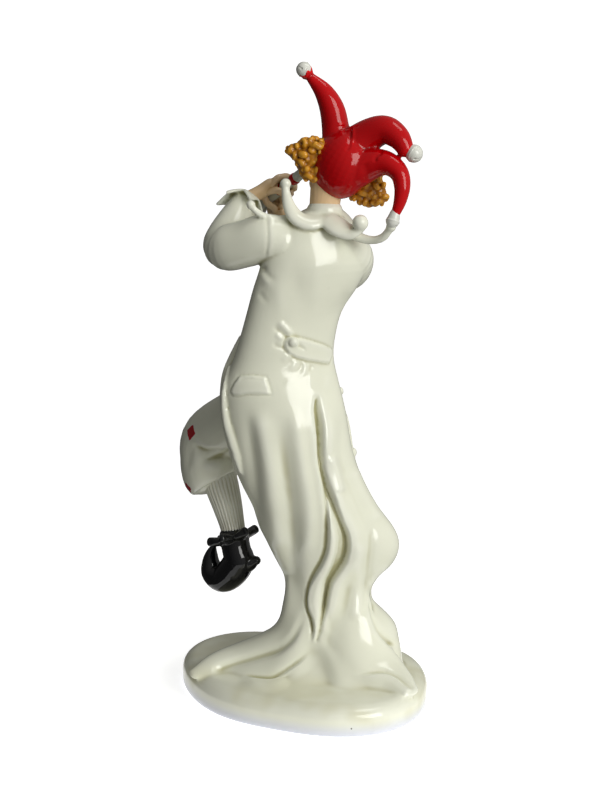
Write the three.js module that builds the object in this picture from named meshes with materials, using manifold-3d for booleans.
// A glazed porcelain figurine of a clown musician, cast in one piece with its plinth.
// The clown stands on the right leg, lifts the left knee and plays a pipe with the head thrown back.
// Millimetres, +Z up. The clown's back is towards +Y and the clown's own left is towards +X.
import * as THREE from "three";
import { mergeVertices } from "three/addons/utils/BufferGeometryUtils.js";
import Module from "manifold-3d";

const wasm = await Module();
wasm.setup();

// Driving sizes
const PLINTH_HEIGHT = 15.5;
const PLINTH_RADIUS = 62;
const PLINTH_SHOULDER = { inset: 8.8, drop: 6.7 };
const PIPE_RADIUS = 2.75;
const PIPE_LENGTH = 54;
const PIPE_BAND_PLACES = [17, 30];
const HEAD_CENTRE = [-19, -6, 277.5];
const HEAD_YAW = 30;
const HEAD_PITCH = 25;
const HEAD_ROLL = 13;
const SKULL = { side: 12.6, front: 14.4, up: 16.4 };
const BELL_RADIUS = 3.9;
const BUTTON_RADIUS = 2.6;
const FOOTPRINT_CENTRE = [-1.275, -1.6];

// The turn at which the single ring of a limb's rounded end is placed
const END_TURN = 55;

const degrees = THREE.MathUtils.degToRad;
const point = (list) => new THREE.Vector3(...list);

// A closed triangle mesh as a solid.
function solid(geometry) {
  const bare = geometry.clone();
  bare.deleteAttribute("normal");
  bare.deleteAttribute("uv");
  const merged = mergeVertices(bare, 1e-4);
  return new wasm.Manifold(
    new wasm.Mesh({
      numProp: 3,
      vertProperties: merged.attributes.position.array,
      triVerts: new Uint32Array(merged.index.array),
    }),
  );
}

// One body from many. Rooms sealed off between crossing limbs are filled.
function join(parts) {
  const whole = parts.reduce((sum, part) => sum.add(part));
  const pieces = whole.decompose().filter((piece) => piece.volume() > 0);
  return pieces.reduce((sum, piece) => sum.add(piece));
}

// A closed skin over rings that each hold the same number of points, with a fan over each end.
function skin(rings) {
  const sides = rings[0].length;
  const places = rings.flat();
  places.push(middle(rings[0]), middle(rings.at(-1)));
  const [low, high] = [places.length - 2, places.length - 1];
  const faces = [];
  for (let ring = 0; ring < rings.length - 1; ring++) {
    for (let side = 0; side < sides; side++) {
      const next = (side + 1) % sides;
      const [a, b] = [ring * sides + side, ring * sides + next];
      faces.push(a, b, b + sides, a, b + sides, a + sides);
    }
  }
  const last = (rings.length - 1) * sides;
  for (let side = 0; side < sides; side++) {
    const next = (side + 1) % sides;
    faces.push(low, next, side, high, last + side, last + next);
  }
  const geometry = new THREE.BufferGeometry().setFromPoints(places);
  geometry.setIndex(faces);
  return solid(geometry);
}

// How much wider a ring of few sides must be to hold the area of a true round.
function roundness(sides) {
  const step = (2 * Math.PI) / sides;
  return Math.sqrt(step / Math.sin(step));
}

// A ring of places, one for each equal step of a full turn.
function around(sides, placeAt) {
  return Array.from({ length: sides }, (_, side) => point(placeAt((side / sides) * 2 * Math.PI, side)));
}

function middle(ring) {
  const sum = ring.reduce((total, place) => total.add(place), new THREE.Vector3());
  return sum.divideScalar(ring.length);
}

// A smooth line through rows of numbers, read at a share from 0 to 1.
function rowAt(rows, share) {
  const last = rows.length - 1;
  const place = Math.min(share * last, last - 1e-9);
  const index = Math.floor(place);
  const t = place - index;
  const row = (k) => rows[Math.max(0, Math.min(last, k))];
  return rows[0].map((_, column) => {
    const [p, a, b, q] = [-1, 0, 1, 2].map((step) => row(index + step)[column]);
    const [start, end] = [(b - p) / 2, (q - a) / 2];
    return (
      (2 * t ** 3 - 3 * t ** 2 + 1) * a +
      (t ** 3 - 2 * t ** 2 + t) * start +
      (3 * t ** 2 - 2 * t ** 3) * b +
      (t ** 3 - t ** 2) * end
    );
  });
}

// A limb, horn or petal: a round or flat section swept along a smooth line, with rounded ends.
// rows: [x, y, z, half width, half depth]; facing: the way that the flat side looks.
function limb(rows, { facing = [0, 1, 0], sides = 10, steps = 2 } = {}) {
  const count = (rows.length - 1) * steps;
  const stations = Array.from({ length: count + 1 }, (_, k) => rowAt(rows, k / count));
  const centres = stations.map(([x, y, z]) => new THREE.Vector3(x, y, z));
  const look = point(facing).normalize();
  const frames = centres.map((_, k) => {
    const tangent = centres[Math.min(k + 1, count)].clone().sub(centres[Math.max(k - 1, 0)]).normalize();
    const across = new THREE.Vector3().crossVectors(look, tangent).normalize();
    const out = new THREE.Vector3().crossVectors(tangent, across).normalize();
    return { tangent, across, out };
  });
  const ring = (k, shrink, push) => {
    const { tangent, across, out } = frames[k];
    const [wide, deep] = stations[k].slice(3).map((size) => size * shrink * roundness(sides));
    const centre = centres[k].clone().addScaledVector(tangent, push);
    return around(sides, (angle) =>
      centre
        .clone()
        .addScaledVector(across, wide * Math.cos(angle))
        .addScaledVector(out, deep * Math.sin(angle))
        .toArray(),
    );
  };
  const capSize = (k) => Math.min(stations[k][3], stations[k][4]);
  const [shrink, push] = [Math.cos(degrees(END_TURN)), Math.sin(degrees(END_TURN))];
  const rings = [ring(0, shrink, -push * capSize(0))];
  for (let k = 0; k <= count; k++) rings.push(ring(k, 1, 0));
  rings.push(ring(count, shrink, push * capSize(count)));
  return skin(rings);
}

function ball([x, y, z], radius, { stretch = [1, 1, 1], turn = null, grain = [6, 5] } = {}) {
  const geometry = new THREE.SphereGeometry(radius * roundness(grain[0]), ...grain);
  geometry.scale(...stretch);
  if (turn) geometry.applyMatrix4(turn);
  geometry.translate(x, y, z);
  return solid(geometry);
}

// Plinth: a low rounded mound, wider across one diagonal
function plinthRadius(angle) {
  const wave = (size, folds, from) => size * Math.cos(folds * angle - degrees(from));
  return PLINTH_RADIUS + wave(0.8, 1, 90) + wave(8.8, 2, -65) + wave(2.6, 3, -104) + wave(2.5, 4, 151);
}

function plinth() {
  const sides = 30;
  const ring = (inset, z) =>
    around(sides, (angle) => {
      const radius = plinthRadius(angle) - inset;
      return [-2.5 + radius * Math.cos(angle), -3 + radius * Math.sin(angle), z];
    });
  const { inset, drop } = PLINTH_SHOULDER;
  const rings = [ring(0.8, 0), ring(0, 2)];
  for (const turn of [0, 30, 60, 90].map(degrees)) {
    rings.push(ring(inset * (1 - Math.cos(turn)), PLINTH_HEIGHT - drop * (1 - Math.sin(turn))));
  }
  return skin(rings);
}

// Coat: [height, middle x, middle y, half width, depth at the back, depth at the front, skew]
// The skew carries the clown's left side towards the back, because the body is turned.
const COAT = [
  [12, -16, -3, 39, 24, 24, 0],
  [30, -20.5, -5, 32.5, 20, 22, 0],
  [44, -17.5, -6, 27.5, 17.5, 19, 0],
  [55, -14.5, -6, 22.5, 16, 18, 0],
  [68, -17.5, -6, 28, 17, 18, 0],
  [82, -17.5, -6, 34.8, 19.5, 18, 0],
  [108, -5, -6, 31.5, 21, 18, 1],
  [135, 5.5, -6, 31.8, 21.5, 18, 2],
  [160, 9.5, -6, 31.2, 20, 18, 4],
  [180, 8.5, -6, 25.8, 15.5, 17, 6],
  [205, 2.6, -6, 24.5, 15.5, 16, 6.5],
  [228, -5.8, -5.5, 26.2, 16, 15.5, 6.5],
  [242, -7, -5, 24, 14, 13.5, 6],
  [252, -9.5, -4, 17, 10, 10, 4.5],
  [257, -12, -4, 9.5, 8, 8, 2],
];

function coatAt(height) {
  const upper = COAT.findIndex(([z]) => z >= height);
  const index = Math.max(1, upper < 0 ? COAT.length - 1 : upper);
  const [low, high] = [COAT[index - 1][0], COAT[index][0]];
  const share = (index - 1 + (height - low) / (high - low)) / (COAT.length - 1);
  return rowAt(COAT, Math.max(0, Math.min(1, share)));
}

// The place on the coat at a given x and height, pushed out a little: side 1 is the back, -1 the front.
function onCoat(x, height, push = 0, side = 1) {
  const [, cx, cy, half, back, front, skew] = coatAt(height);
  const across = Math.max(-1, Math.min(1, (x - cx) / half));
  const depth = (side > 0 ? back : front) * Math.sqrt(1 - across ** 2) + push;
  return [x, cy + side * depth + skew * across, height];
}

function coatSkin() {
  const [sides, rings] = [20, 28];
  const rows = Array.from({ length: rings }, (_, ring) => rowAt(COAT, ring / (rings - 1)));
  return skin(
    rows.map(([height, cx, cy, half, back, front, skew]) =>
      around(sides, (angle) => {
        const [across, along] = [Math.cos(angle), Math.sin(angle)].map((share) => share * roundness(sides));
        return [cx + half * across, cy + (along > 0 ? back : front) * along + skew * across, height];
      }),
    ),
  );
}

// The skirt of the coat is open at the front, and this is the room inside it.
function coatHollow() {
  const low = COAT.filter(([height]) => height > 20 && height < 150);
  const rings = low.map(([height, cx, , half, back]) => [height, cx, half - 5, back + 18]);
  const [, topX] = rings.at(-1);
  rings.push([158, topX, 12, 12]);
  return skin(
    rings.map(([height, cx, half, deep]) =>
      around(14, (angle) => [cx + half * Math.cos(angle), -31 + deep * Math.sin(angle), height]),
    ),
  );
}

// Ridges of cloth that stand out of the coat's back: [x, height, push, half width, half depth]
function ridge(rows) {
  const places = rows.map(([x, height, push, wide, deep]) => [...onCoat(x, height, push), wide, deep]);
  return limb(places, { sides: 6, steps: 1 });
}

function coatFolds() {
  return [
    ridge([
      [-9, 168, -1.5, 2, 1.5],
      [-12, 148, -1, 2.4, 2],
      [-14.5, 125, -1, 3, 2.5],
      [-20, 105, -0.5, 4, 3],
      [-25.5, 88, 0, 4, 3.4],
      [-24, 74, 0, 4, 3.4],
      [-18, 60, 0, 3.6, 3],
      [-17, 45, 0, 3.6, 3],
      [-20, 32, 0.5, 4, 3],
    ]),
    ridge([
      [-13, 100, -1, 2, 2],
      [-12, 82, 0, 2.6, 2.4],
      [-7, 64, 1, 3.2, 2.6],
      [-6.5, 52, 1.5, 3.4, 2.8],
      [-9.5, 40, 1, 2.8, 2.4],
      [-7, 29, 1, 3, 2.4],
    ]),
  ];
}

// The train: tongues of cloth that run down the skirt and spread over the plinth
function train() {
  const tongues = [
    [
      [3.4, 2, 62, 5, 4],
      [2, 3, 42, 6, 5],
      [9.4, 2, 26, 8, 5],
      [28, 4, 18, 9, 4.5],
      [46, 8, 15, 7, 3],
      [56, 11, 13, 2, 2],
    ],
    [
      [-5, 9, 45, 4, 4],
      [-3, 10, 30, 8, 5],
      [8, 12, 20, 11, 5],
      [20, 13, 16, 10, 3],
      [30, 11, 14.5, 5, 2],
    ],
    [
      [-30, 12, 60, 8, 5],
      [-32, 14, 40, 12, 6],
      [-38, 20, 26, 16, 6],
      [-48, 28, 17, 12, 4],
      [-55, 35, 15, 6, 2.6],
    ],
  ];
  return tongues.map((rows) => limb(rows, { facing: [0, 0.5, 1], sides: 8, steps: 1 }));
}

// Turned edges of the open coat, half belt, pocket flap and buttons.
// The belt and the flap lie on the coat's back: [x, height, push, half width, half depth]
function coatTrim() {
  const leftEdge = [
    [30, -12, 190, 2, 2],
    [34.6, -8, 181, 2.2, 2.2],
    [38.5, -5, 172, 2.4, 2.4],
    [39.5, -3, 160, 2.4, 2.4],
    [38.6, -2, 148, 2.4, 2.4],
    [36, -2, 136, 2.4, 2.4],
    [32, -2, 120, 2.2, 2.2],
  ];
  const rightEdge = [
    [-8, -23, 172, 2.4, 2.4],
    [-19, -18, 158, 2.4, 2.4],
    [-24, -15, 140, 2.4, 2.4],
    [-27.6, -15, 120, 2.4, 2.4],
    [-35.6, -14, 102, 2.6, 2.6],
    [-44, -12, 86, 3, 3],
  ];
  const belt = [
    [9, 192, 0, 4.2, 1.2],
    [4, 190.5, 0.6, 4.2, 1.2],
    [-4, 187, 0.8, 4.2, 1.2],
    [-15.5, 184, 0.4, 4.2, 1.2],
  ];
  const pocket = [[33, 172, 0, 4.2, 1.2], [25, 170.5, 0.6, 4.2, 1.2], [15, 170, 0.4, 4.2, 1.2]];
  const buttons = [onCoat(13, 212, 0, -1), [-22, -16.5, 161], [-29.4, -16.5, 128]];
  return [
    limb(leftEdge, { sides: 6, steps: 1 }),
    limb(rightEdge, { sides: 6, steps: 1 }),
    ridge(belt),
    ridge(pocket),
    ...buttons.map((place) => ball(place, BUTTON_RADIUS)),
  ];
}

// A crown of points that flares from a limb: points lie back along the limb by the given drop.
function crown(centre, way, { points, root, tip, drop }) {
  const along = point(way).normalize();
  const side = new THREE.Vector3().crossVectors(along, new THREE.Vector3(0.3, 1, 0.2)).normalize();
  const front = new THREE.Vector3().crossVectors(along, side);
  const ring = (reachAt, riseAt) =>
    around(points * 2, (angle, k) =>
      point(centre)
        .addScaledVector(side, reachAt(k) * Math.cos(angle))
        .addScaledVector(front, reachAt(k) * Math.sin(angle))
        .addScaledVector(along, riseAt(k))
        .toArray(),
    );
  const reach = (k) => (k % 2 ? root + 1.4 : tip);
  return skin([
    ring(() => root * 0.6, () => -2),
    ring((k) => reach(k) - 0.8, (k) => (k % 2 ? -1.6 : -drop)),
    ring(reach, (k) => (k % 2 ? -0.4 : 0.6 - drop)),
    ring(() => root * 0.9, () => 1.8),
  ]);
}

// Legs, each from the hip to the curled toe: breeches gathered below the knee, stocking and boot.
function liftedLeg() {
  const rows = [
    [14, -6, 158, 16, 16],
    [30, -24, 146, 16, 16.6],
    [45.6, -38, 131.6, 16, 16.6],
    [46.8, -38, 118, 16, 17],
    [46, -35.8, 110, 14, 15.4],
    [44, -33.5, 103.6, 8.8, 9],
    [36.9, -26, 86, 7.4, 7.6],
    [34.5, -24.5, 78, 8.8, 9.2],
    [32.6, -24, 69, 9.4, 9.6],
    [38.3, -28, 58.6, 9.2, 9],
    [46.8, -33, 53.8, 7.4, 7.6],
    [50.4, -36, 59.4, 4, 4],
    [49.6, -37, 65.5, 2.6, 2.6],
    [47, -37, 69.5, 1, 1],
  ];
  return [
    limb(rows, { facing: [0.6, 0.8, 0] }),
    crown([37, -26.2, 86.4], [0.34, -0.2, 1], { points: 6, root: 7.6, tip: 14.5, drop: 4 }),
  ];
}

function standingLeg() {
  const rows = [
    [-2, -10, 158, 15, 17],
    [-5, -16, 125, 14, 15],
    [-8, -20, 98, 14, 15.5],
    [-8.5, -20, 86, 13, 14],
    [-8.5, -20, 79, 8.6, 9],
    [-9.5, -18, 38, 6.4, 6.4],
    [-9.8, -17, 27, 8, 8],
    [-9, -19, 20.5, 7.6, 7.6],
    [-6, -30, 20, 6.6, 7.6],
    [-2, -42, 20, 5.6, 6.2],
    [0.5, -50, 23, 3.6, 3.6],
    [0.4, -50.5, 29.5, 2.4, 2.4],
    [-1.5, -46, 32, 1, 1],
  ];
  return [
    limb(rows, { facing: [1, 0, 0], sides: 8, steps: 1 }),
    crown([-9.4, -18, 37], [0.02, -0.03, 1], { points: 6, root: 7, tip: 13, drop: 4 }),
  ];
}

// Head frame: the clown's own left, face and crown as directions
const head = (() => {
  const turn = new THREE.Matrix4()
    .multiply(new THREE.Matrix4().makeRotationZ(degrees(HEAD_YAW)))
    .multiply(new THREE.Matrix4().makeRotationX(degrees(-HEAD_PITCH)))
    .multiply(new THREE.Matrix4().makeRotationY(degrees(-HEAD_ROLL)));
  const way = (...list) => point(list).transformDirection(turn);
  const place = (left, front, up) =>
    point([left, -front, up]).applyMatrix4(turn).add(point(HEAD_CENTRE)).toArray();
  return { turn, way, place };
})();

function headAndNeck() {
  const { place, turn, way } = head;
  const face = way(0, -1, 0).toArray();
  const jaw = [
    [...place(0, 3, -2), 11, 11],
    [...place(0, 5.5, -9), 9.4, 8.4],
    [...place(0, 8.4, -14.5), 5.6, 4.6],
  ];
  const nose = [
    [...place(0, 13, 3), 1.1, 1.4],
    [...place(0, 15.4, -2), 1.9, 1.9],
    [...place(0, 14, -3.6), 1.4, 1.4],
  ];
  const neck = [[-12.4, -4.5, 248, 9, 8.4], [-12.4, -5, 258, 7.8, 7.4], [-13.5, -6, 270, 8.2, 8]];
  return [
    ball(place(0, 0, 2), 1, { stretch: [SKULL.side, SKULL.front, SKULL.up], turn, grain: [10, 7] }),
    limb(jaw, { facing: face, sides: 8, steps: 1 }),
    limb(nose, { facing: face, sides: 6, steps: 1 }),
    limb(neck, { sides: 8, steps: 1 }),
  ];
}

// Jester's cap: a hood over the back of the skull and three belled horns
function cap() {
  const { place, turn } = head;
  const hood = ball(place(0, -1.6, 3.2), 1, { stretch: [14.6, 16.2, 17.6], turn, grain: [12, 8] });
  const opening = ball(place(0, 22, -5), 1, { stretch: [17, 20, 25], turn, grain: [10, 8] });
  const horns = [
    [
      [-20.5, -6.5, 280, 11.5, 11.5],
      [-18.6, -8, 289, 8.6, 8.6],
      [-17.8, -8, 297.6, 7, 7],
      [-16, -8, 307, 6.3, 6.3],
      [-11.8, -8, 315.4, 4.8, 4.8],
      [-5.4, -8, 322.4, 2.5, 2.5],
    ],
    [
      [-25, -5, 285, 12, 12],
      [-34, -1, 294, 8.6, 8.6],
      [-42, 3, 297.2, 7.2, 7.2],
      [-48.2, 7, 294, 6, 6],
      [-51.8, 10, 288.6, 4.4, 4.4],
    ],
    [
      [-28, 1, 278, 10, 10],
      [-37, 5, 281, 7.6, 7.6],
      [-43.6, 9, 281, 5.9, 5.9],
      [-48.8, 12, 276.8, 4.8, 4.8],
      [-50.3, 14, 270.4, 4.1, 4.1],
      [-49.2, 15, 263, 3.2, 3.2],
      [-46.8, 15, 256.4, 2.2, 2.2],
    ],
  ];
  return [
    hood.subtract(opening),
    ...horns.map((rows) => limb(rows, { sides: 8 })),
    ball([-1.9, -8, 326.47], BELL_RADIUS),
    ball([-56.1, 11, 286.2], 4.5),
    ball([-45.7, 15, 253.5], 3.4),
  ];
}

// Hair: a tuft of curls on each side of the face
function hair() {
  const lumps = [
    [-4.5, -3, 287.2, 6.4],
    [1.2, -3, 286, 5],
    [-2.5, -3, 281.6, 6],
    [-6, -3, 275.6, 5.6],
    [-33, -10, 267.3, 7],
    [-38, -10, 265.7, 6.2],
    [-41.4, -10, 263.8, 4.4],
    [-33, -10, 276, 6.4],
  ];
  return lumps.map(([x, y, z, radius]) => ball([x, y, z], radius));
}

// Pipe, from the lips down to its flared end
const PIPE_START = [-6.5, -18.6, 278.4];
const PIPE_WAY = point([0.545, -0.69, -0.475]).normalize();
const alongPipe = (distance) => point(PIPE_START).addScaledVector(PIPE_WAY, distance).toArray();

function pipe() {
  const rod = (rows) => {
    const places = rows.map(([place, radius]) => [...alongPipe(place), radius, radius]);
    return limb(places, { facing: [0, 0, 1], sides: 8, steps: 1 });
  };
  const body = rod([
    [1, 1.6],
    [6, 2.4],
    [12, PIPE_RADIUS],
    [PIPE_LENGTH - 10, PIPE_RADIUS],
    [PIPE_LENGTH - 5, 3.8],
    [PIPE_LENGTH - 2, 5],
  ]);
  const band = PIPE_RADIUS + 0.5;
  return [body, ...PIPE_BAND_PLACES.map((place) => rod([[place - 0.5, band], [place + 0.5, band]]))];
}

// Arms: wide sleeves with jagged turned-back cuffs, and hands that close round the pipe
function hand(wrist, palm, grip, reachAlong) {
  const back = [[...wrist, 5.2, 4.6], [...palm, 6.4, 4.4], [...grip, 5.4, 3.6]];
  const centre = point(alongPipe(reachAlong));
  const from = point(grip).sub(centre).projectOnPlane(PIPE_WAY).normalize();
  const round = new THREE.Vector3().crossVectors(PIPE_WAY, from);
  const fingers = [0, 50, 100, 150].map((turn) => {
    const [near, past] = [Math.cos(degrees(turn)), Math.sin(degrees(turn))];
    const place = centre.clone().addScaledVector(from, near * 4).addScaledVector(round, past * 4);
    return [...place.toArray(), 6, 1.8];
  });
  return [
    limb(back, { facing: [0, 0.3, 1], sides: 7, steps: 1 }),
    limb(fingers, { facing: from.clone().add(round).toArray(), sides: 7, steps: 1 }),
  ];
}

function arms() {
  const left = [
    [8, -1, 241, 12.6, 12],
    [17, -1, 243, 12.4, 12],
    [28, -4, 239.8, 12, 11.3],
    [37, -9, 237.6, 12, 11.3],
    [37.2, -17, 241.2, 11, 10.5],
    [33.5, -25, 248.8, 9.4, 9],
    [29.5, -31.5, 256.5, 7.4, 7],
  ];
  const right = [
    [-18, -8, 236.4, 11.5, 11],
    [-24.4, -13, 232.6, 12.8, 12.4],
    [-24, -25, 226, 13, 12.5],
    [-18, -38, 222, 12, 11.5],
    [-9, -43, 229, 10.5, 10],
    [0, -45.5, 237, 9, 8.6],
    [7, -47, 244, 7.2, 7],
  ];
  return [
    ...[left, right].map((rows) => limb(rows, { facing: [0, 1, 0.2], sides: 10 })),
    crown([29, -32, 257], [-7, -12, 11], { points: 5, root: 7.4, tip: 13, drop: 6 }),
    crown([6.4, -46.6, 243.4], [14, -4, 14], { points: 5, root: 7, tip: 12.5, drop: 6 }),
    ...hand([27, -34, 259.5], [19.5, -36.5, 263.5], [14, -38, 266], 29),
    ...hand([8.5, -47.6, 246], [13, -49, 251.5], [15.5, -49.5, 255], 43),
  ];
}

// Collar: long curling petals with a bell at each tip
function collar() {
  const petals = [
    [
      [-9, 5, 254, 5.6, 3.6],
      [-1, 6, 254.6, 4.6, 3.6],
      [5.4, 5, 259.5, 3, 2.7],
      [7, 3, 266, 2.3, 2.2],
      [7.4, 2, 269.4, 2.1, 2.1],
    ],
    [[-4, 0, 255.5, 5, 3], [6, 2, 254.6, 3.4, 2.4], [15, 4, 256, 2.4, 2], [22, 4, 259.6, 1.9, 1.9]],
    [
      [-14, 6, 254, 5.6, 3.4],
      [-19, 9, 249.6, 5.4, 3],
      [-25, 11.5, 248.6, 4.4, 2.6],
      [-29, 13, 251, 2.6, 2.2],
    ],
    [
      [-18, 2, 253, 5.6, 3],
      [-27, 5, 246.5, 4, 2.6],
      [-35, 8, 244.4, 2.4, 2.2],
      [-41, 11, 245.8, 2.1, 2],
      [-44.6, 13.5, 249.6, 1.9, 1.9],
    ],
  ];
  const bells = [
    [7.4, 2, 270.6, 2.7],
    [23.5, 4, 260.6, 2.6],
    [-29.8, 13.6, 252.8, BELL_RADIUS],
    [-44.8, 14, 250.4, 2.6],
  ];
  return [
    limb([[-12.4, -4, 253.5, 10.2, 9.6], [-12.4, -4.4, 259, 8.8, 8.4]], { sides: 9, steps: 1 }),
    ...petals.map((rows) => limb(rows, { facing: [0, 0.6, 0.8], sides: 6, steps: 1 })),
    ...bells.map(([x, y, z, radius]) => ball([x, y, z], radius)),
  ];
}

const body = join([
  coatSkin().subtract(coatHollow()),
  plinth(),
  ...coatFolds(),
  ...train(),
  ...coatTrim(),
  ...liftedLeg(),
  ...standingLeg(),
  ...arms(),
  ...headAndNeck(),
  ...cap(),
  ...hair(),
  ...pipe(),
  ...collar(),
]);

function geometryOf(whole) {
  const mesh = whole.getMesh();
  const geometry = new THREE.BufferGeometry();
  geometry.setAttribute("position", new THREE.BufferAttribute(mesh.vertProperties, 3));
  geometry.setIndex(new THREE.BufferAttribute(mesh.triVerts, 1));
  geometry.translate(-FOOTPRINT_CENTRE[0], -FOOTPRINT_CENTRE[1], 0);
  return geometry.toNonIndexed();
}

const glaze = new THREE.MeshStandardMaterial({ color: 0xe9e8dc, roughness: 0.15, metalness: 0 });
const figurine = new THREE.Mesh(geometryOf(body), glaze);
figurine.geometry.computeVertexNormals();
figurine.name = "clown_figurine";

const part = new THREE.Group();
part.add(figurine);
export default part;
